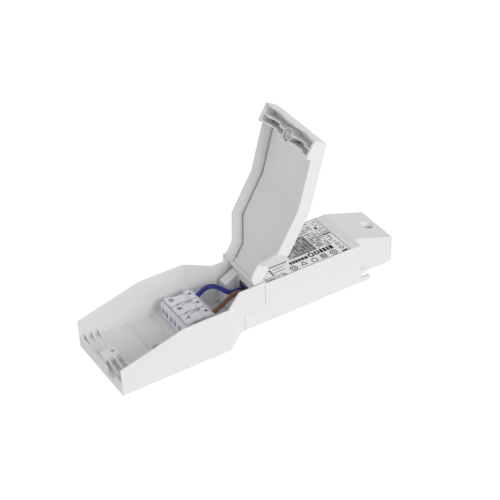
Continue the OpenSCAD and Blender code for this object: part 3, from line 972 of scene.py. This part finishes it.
@dataclass
class LabelPrint:
    """The film label on the driver with plain bars, frames and rows of dashes."""

    z: float = 21.42
    ink: float = 0.015
    tint_share: float = 0.5
    border: Box = (78.9, 123.5, -11.65, 17.4)
    border_line: float = 0.26
    table: Box = (96.4, 111.0, -3.2, 9.3)
    notes: Box = (119.0, 123.0, 5.2, 7.0)
    columns: int = 7
    column_first: Point = (98.2, 98.4)
    column_pitch: float = 1.814
    table_posts: Point = (96.4, 110.8)
    table_rails: Point = (-3.2, 9.1)
    table_line: float = 0.22
    house: Tuple[Point, ...] = ((104.0, -10.7), (107.0, -10.7), (107.0, -8.8), (105.5, -7.4), (104.0, -8.8))
    house_line: float = 0.42
    dash_least: Place = (0.35, 0.75, 1.0)
    dash_most: Place = (1.15, 1.0, 1.0)
    fewest: int = 2
    blunt: float = 0.3
    rows_tree: GrowthTree = field(init=False)

    def __post_init__(self) -> None:
        """Builds the tree that sets rows of dashes on a field."""
        tree = GrowthTree("print_rows", {"Width": "Float", "Height": "Float", "Columns": "Int",
                                         "Rows": "Int", "Dash": "Vector", "Cover": "Float",
                                         "Seed": "Int", "Middle": "Vector", "Finish": "Material"})
        grid = tree.add("GeometryNodeMeshGrid")
        dash = tree.add("GeometryNodeMeshCube")
        spread = tree.add("GeometryNodeInstanceOnPoints")
        keep = tree.add("FunctionNodeRandomValue", data_type="BOOLEAN")
        size = tree.add("FunctionNodeRandomValue", data_type="FLOAT_VECTOR")
        move = tree.add("GeometryNodeTransform")
        for name, socket in (("Width", "Size X"), ("Height", "Size Y"), ("Columns", "Vertices X"),
                             ("Rows", "Vertices Y")):
            tree.join(tree.given(name), grid.inputs[socket])
        tree.join(tree.given("Dash"), dash.inputs["Size"])
        places = by_identifier(keep.inputs)
        tree.join(tree.given("Cover"), places["Probability"])
        tree.join(tree.given("Seed"), places["Seed"])
        sizes = by_identifier(size.inputs)
        sizes["Min"].default_value = self.dash_least
        sizes["Max"].default_value = self.dash_most
        tree.join(tree.given("Seed"), sizes["Seed"])
        tree.join(grid.outputs["Mesh"], spread.inputs["Points"])
        tree.join(by_identifier(keep.outputs)["Value_003"], spread.inputs["Selection"])
        tree.join(dash.outputs["Mesh"], spread.inputs["Instance"])
        tree.join(by_identifier(size.outputs)["Value"], spread.inputs["Scale"])
        tree.join(spread.outputs["Instances"], move.inputs["Geometry"])
        tree.join(tree.given("Middle"), move.inputs["Translation"])
        tree.close(move.outputs["Geometry"])
        self.rows_tree = tree

    def rows(self, plan: DashField) -> None:
        """Prints rows of dashes in a field.

        Args:
            plan: the field.
        """
        x0, x1, y0, y1 = plan.box
        length, height = plan.dash
        width, rise = x1 - x0 - length, y1 - y0 - height
        values = {
            "Width": width / PER_METRE,
            "Height": rise / PER_METRE,
            "Columns": max(self.fewest, round(width / plan.pitch[0]) + 1),
            "Rows": max(self.fewest, round(rise / plan.pitch[1]) + 1),
            "Dash": (length / PER_METRE, height / PER_METRE, self.ink / PER_METRE),
            "Cover": plan.cover,
            "Seed": plan.seed,
            "Middle": tuple(at((x0 + x1) / 2, (y0 + y1) / 2, self.z + self.ink / 2)),
            "Finish": plan.ink.material(),
        }
        mesh = self.rows_tree.grow(plan.name, bpy.data.meshes.new(plan.name + "_seed"), values)
        show(plan.name, mesh, Body.BASE, plan.ink)

    def bar(self, maker: MeshMaker, box: Box, share: float = 1.0) -> None:
        """Adds a filled bar with a share of the full ink height."""
        lift = Vector((0, 0, self.ink * share / PER_METRE))
        maker.prism([at(x, y, self.z) for x, y in corners(box)], lift)

    def outline(self, maker: MeshMaker, points: Sequence[Point], line: float) -> None:
        """Adds a closed outline drawn inward from its corners.

        Args:
            maker: the mesh that collects the print.
            points: corners in mm, anticlockwise.
            line: width of the line in mm.
        """
        count = len(points)
        inner: List[Point] = []
        for i in range(count):
            before = Vector(points[i]) - Vector(points[i - 1])
            after = Vector(points[(i + 1) % count]) - Vector(points[i])
            n1 = Vector((-before.y, before.x)).normalized()
            n2 = Vector((-after.y, after.x)).normalized()
            corner = (n1 + n2) / max(self.blunt, 1.0 + n1.dot(n2))
            inner.append((points[i][0] + corner.x * line, points[i][1] + corner.y * line))
        maker.band([at(x, y, self.z) for x, y in points], [at(x, y, self.z) for x, y in inner],
                   Vector((0, 0, self.ink / PER_METRE)))

    def signs(self, maker: MeshMaker, signs: Sequence[Sign]) -> None:
        """Adds a row of regular outlines."""
        for sign in signs:
            self.outline(maker, sign.points(), sign.line)

    def frames(self) -> None:
        """Prints the border, the table lines and the sign row."""
        fine = MeshMaker()
        self.outline(fine, corners(self.border), self.border_line)
        for box in FINE_BARS:
            self.bar(fine, box)
        x0, x1, y0, y1 = self.table
        for column in range(self.columns):
            shift = self.column_pitch * column
            self.bar(fine, (self.column_first[0] + shift, self.column_first[1] + shift, y0, y1))
        for x in self.table_posts:
            self.bar(fine, (x, x + self.table_line, y0, y1))
        for y in self.table_rails:
            self.bar(fine, (x0, x1, y, y + self.table_line))
        self.signs(fine, FINE_SIGNS)
        self.outline(fine, self.house, self.house_line)
        show("label_lines", fine.mesh("label_lines"), Body.BASE, INK_GREY)

    def bold(self) -> None:
        """Prints the heavy bars and signs."""
        heavy = MeshMaker()
        for box in HEAVY_BARS:
            self.bar(heavy, box)
        self.signs(heavy, HEAVY_SIGNS)
        show("label_bars", heavy.mesh("label_bars"), Body.BASE, INK_BLACK)

    def tint(self) -> None:
        """Prints the pale grey fields under the table and the notes."""
        pale = MeshMaker()
        for box in (self.table, self.notes):
            self.bar(pale, box, self.tint_share)
        show("label_tint", pale.mesh("label_tint"), Body.BASE, INK_TINT)

    def build(self) -> None:
        """Dresses the film and prints everything on it."""
        adopt("rating_label", LABEL_FILM)
        self.tint()
        self.frames()
        self.bold()
        for plan in DASH_FIELDS:
            self.rows(plan)


# finishes of the electronics inside the driver
INNER_PARTS: Dict[str, Finish] = {
    "circuit_board": BOARD_GREEN,
    "input_terminal": TERMINAL_GREY,
    "output_terminal": TERMINAL_GREY,
    "mains_fuse": FUSE_BROWN,
    "surge_varistor": BLUE_LACQUER,
    "line_choke": FERRITE,
    "filter_capacitor": YELLOW_BOX,
    "bridge_rectifier": DARK_RESIN,
    "bulk_capacitor": NAVY_SLEEVE,
    "transformer_core": FERRITE,
    "transformer_winding": COIL_TAPE,
    "switch_transistor": DARK_RESIN,
    "control_chip": DARK_RESIN,
    "isolation_capacitor": BLUE_LACQUER,
    "output_diode": DARK_RESIN,
    "output_capacitor": NAVY_SLEEVE,
}


@dataclass
class Driver:
    """The driver's case, its bottom cover and the electronics inside."""

    edge: float = 0.26

    def build(self) -> None:
        """Rounds the case and gives each inner part its finish."""
        soften("driver_case", Body.BASE, CASE_WHITE, self.edge)
        adopt("driver_bottom", CASE_WHITE)
        for node, finish in INNER_PARTS.items():
            adopt(node, finish)


@dataclass
class Studio:
    """Floor, light and camera."""

    eye: Place = (-0.29297, -0.50437, 0.46248)
    back: Place = (-0.4070, -0.6953, 0.5923)
    right: Place = (0.8630, -0.5052, 0.0)
    roll: float = -2.372
    lens: float = 117.86
    sensor: float = 36.0
    clip: Point = (0.01, 50.0)
    horizon: float = 0.98
    zenith: float = 0.34
    key: float = 5.5
    key_from: Place = (0.19, -0.84, 0.51)
    key_reach: float = 1.3
    key_size: Point = (0.6, 0.5)
    floor_half: float = 6.0
    floor_low: float = -0.02
    floor_lift: float = 0.0199
    floor_grey: float = 0.8
    floor_seen: float = 0.42
    floor_glow: float = 0.78
    # middle and reach in m of the patch under the terminal box where the floor's glow is left out as
    # painted shadow
    shadow_patch_x: Point = (-0.046, 0.022)
    shadow_patch_y: Point = (0.0, 0.015)

    def glow_with_painted_shadow(self, sheet: NodeSheet) -> bpy.types.NodeSocket:
        """Returns the floor's glow, which stops under the terminal box as a painted shadow that keeps the
        floor seen through the box's holes dark.

        Args:
            sheet: the floor's node tree.

        Returns:
            A number output with the glow, nought in the painted shadow under the box.
        """
        spot = sheet.add("ShaderNodeTexCoord")
        split = sheet.add("ShaderNodeSeparateXYZ")
        sheet.join(spot.outputs["Object"], split.inputs[0])
        tests = []
        for axis, (middle, reach) in (("X", self.shadow_patch_x), ("Y", self.shadow_patch_y)):
            near = sheet.add("ShaderNodeMath", operation="COMPARE")
            near.inputs[1].default_value = middle
            near.inputs[2].default_value = reach
            tests.append(sheet.feed(near, split.outputs[axis]))
        under = sheet.feed(sheet.add("ShaderNodeMath", operation="MULTIPLY"), *tests)
        glow = sheet.add("ShaderNodeMapRange", To_Min=self.floor_glow, To_Max=0.0)
        return sheet.feed(glow, under)

    def floor_material(self) -> bpy.types.Material:
        """Makes a pale floor that is white to the camera, keeps the shadow and has a painted shadow under
        the terminal box.

        Returns:
            The new material.
        """
        material = bpy.data.materials.new("studio_floor")
        sheet = NodeSheet.of(material)
        out = sheet.add("ShaderNodeOutputMaterial")
        mix = sheet.add("ShaderNodeMixShader")
        path = sheet.add("ShaderNodeLightPath")
        seen = path.outputs["Is Camera Ray"]
        for kind in ("Is Glossy Ray", "Is Transmission Ray"):
            seen = sheet.feed(sheet.add("ShaderNodeMath", operation="MAXIMUM"), seen, path.outputs[kind])
        plain = sheet.add("ShaderNodeBsdfDiffuse", Color=(self.floor_grey,) * 3 + (1.0,))
        pale = sheet.add("ShaderNodeBsdfDiffuse", Color=(self.floor_seen,) * 3 + (1.0,))
        glow = sheet.add("ShaderNodeEmission", Color=WHITE)
        # no glow under the terminal box: painted shadow
        sheet.join(self.glow_with_painted_shadow(sheet), glow.inputs["Strength"])
        both = sheet.feed(sheet.add("ShaderNodeAddShader"), pale.outputs[0], glow.outputs[0])
        sheet.join(sheet.feed(mix, seen, plain.outputs[0], both), out.inputs["Surface"])
        return material

    def floor(self) -> None:
        """Lays the floor just under the part."""
        maker = MeshMaker()
        half = self.floor_half
        outline = [Vector((x, y, self.floor_low)) for x, y in corners((-half, half, -half, half))]
        maker.prism(outline, Vector((0, 0, self.floor_lift)))
        mesh = maker.mesh("studio_floor")
        mesh.materials.append(self.floor_material())
        plane = stand("studio_floor", mesh)

    def light(self) -> None:
        """Sets an even sky and one broad lamp on the near side."""
        world = bpy.data.worlds.new("studio_sky")
        sheet = NodeSheet.of(world)
        out = sheet.add("ShaderNodeOutputWorld")
        dome = sheet.add("ShaderNodeBackground", Color=WHITE)
        white = sheet.add("ShaderNodeBackground", Color=WHITE, Strength=1.0)
        spot = sheet.add("ShaderNodeTexCoord")
        split = sheet.add("ShaderNodeSeparateXYZ")
        rise = sheet.add("ShaderNodeMapRange", To_Min=self.horizon, To_Max=self.zenith)
        path = sheet.add("ShaderNodeLightPath")
        blend = sheet.add("ShaderNodeMixShader")
        sheet.join(spot.outputs["Generated"], split.inputs[0])
        sheet.join(split.outputs["Z"], rise.inputs["Value"])
        sheet.join(rise.outputs["Result"], dome.inputs["Strength"])
        sheet.feed(blend, path.outputs["Is Camera Ray"], dome.outputs[0], white.outputs[0])
        sheet.join(blend.outputs[0], out.inputs["Surface"])
        bpy.context.scene.world = world
        lamp = bpy.data.lights.new("near_panel", "AREA")
        lamp.shape = "RECTANGLE"
        lamp.size, lamp.size_y = self.key_size
        lamp.energy = self.key
        panel = stand("near_panel", lamp)
        away = Vector(self.key_from).normalized()
        panel.location = away * self.key_reach
        panel.rotation_euler = away.to_track_quat("Z", "Y").to_euler()

    def camera(self) -> None:
        """Sets the camera at the picture's viewing angle."""
        data = bpy.data.cameras.new("studio_camera")
        data.sensor_fit = "HORIZONTAL"
        data.sensor_width = self.sensor
        data.lens = self.lens
        data.clip_start, data.clip_end = self.clip
        eye = stand("studio_camera", data)
        back = Vector(self.back).normalized()
        right = Vector(self.right).normalized()
        up = back.cross(right)
        turn = math.radians(self.roll)
        across = right * math.cos(turn) + up * math.sin(turn)
        upward = up * math.cos(turn) - right * math.sin(turn)
        basis = Matrix((across, upward, back)).transposed().to_4x4()
        basis.translation = Vector(self.eye)
        eye.matrix_world = basis
        bpy.context.scene.camera = eye

    def build(self) -> None:
        """Sets up the whole studio."""
        self.camera()
        self.floor()
        self.light()
        bpy.context.scene.view_settings.view_transform = "Standard"


def main() -> None:
    """Builds the studio and dresses every sub-assembly."""
    logging.basicConfig(level=logging.INFO, format="%(name)s: %(message)s")
    for part in (Studio(), TerminalBox(), LeverBlock(), Leads(), LabelPrint(), Driver()):
        LOG.info("building %s", type(part).__name__)
        part.build()


if __name__ == "__main__":
    main()
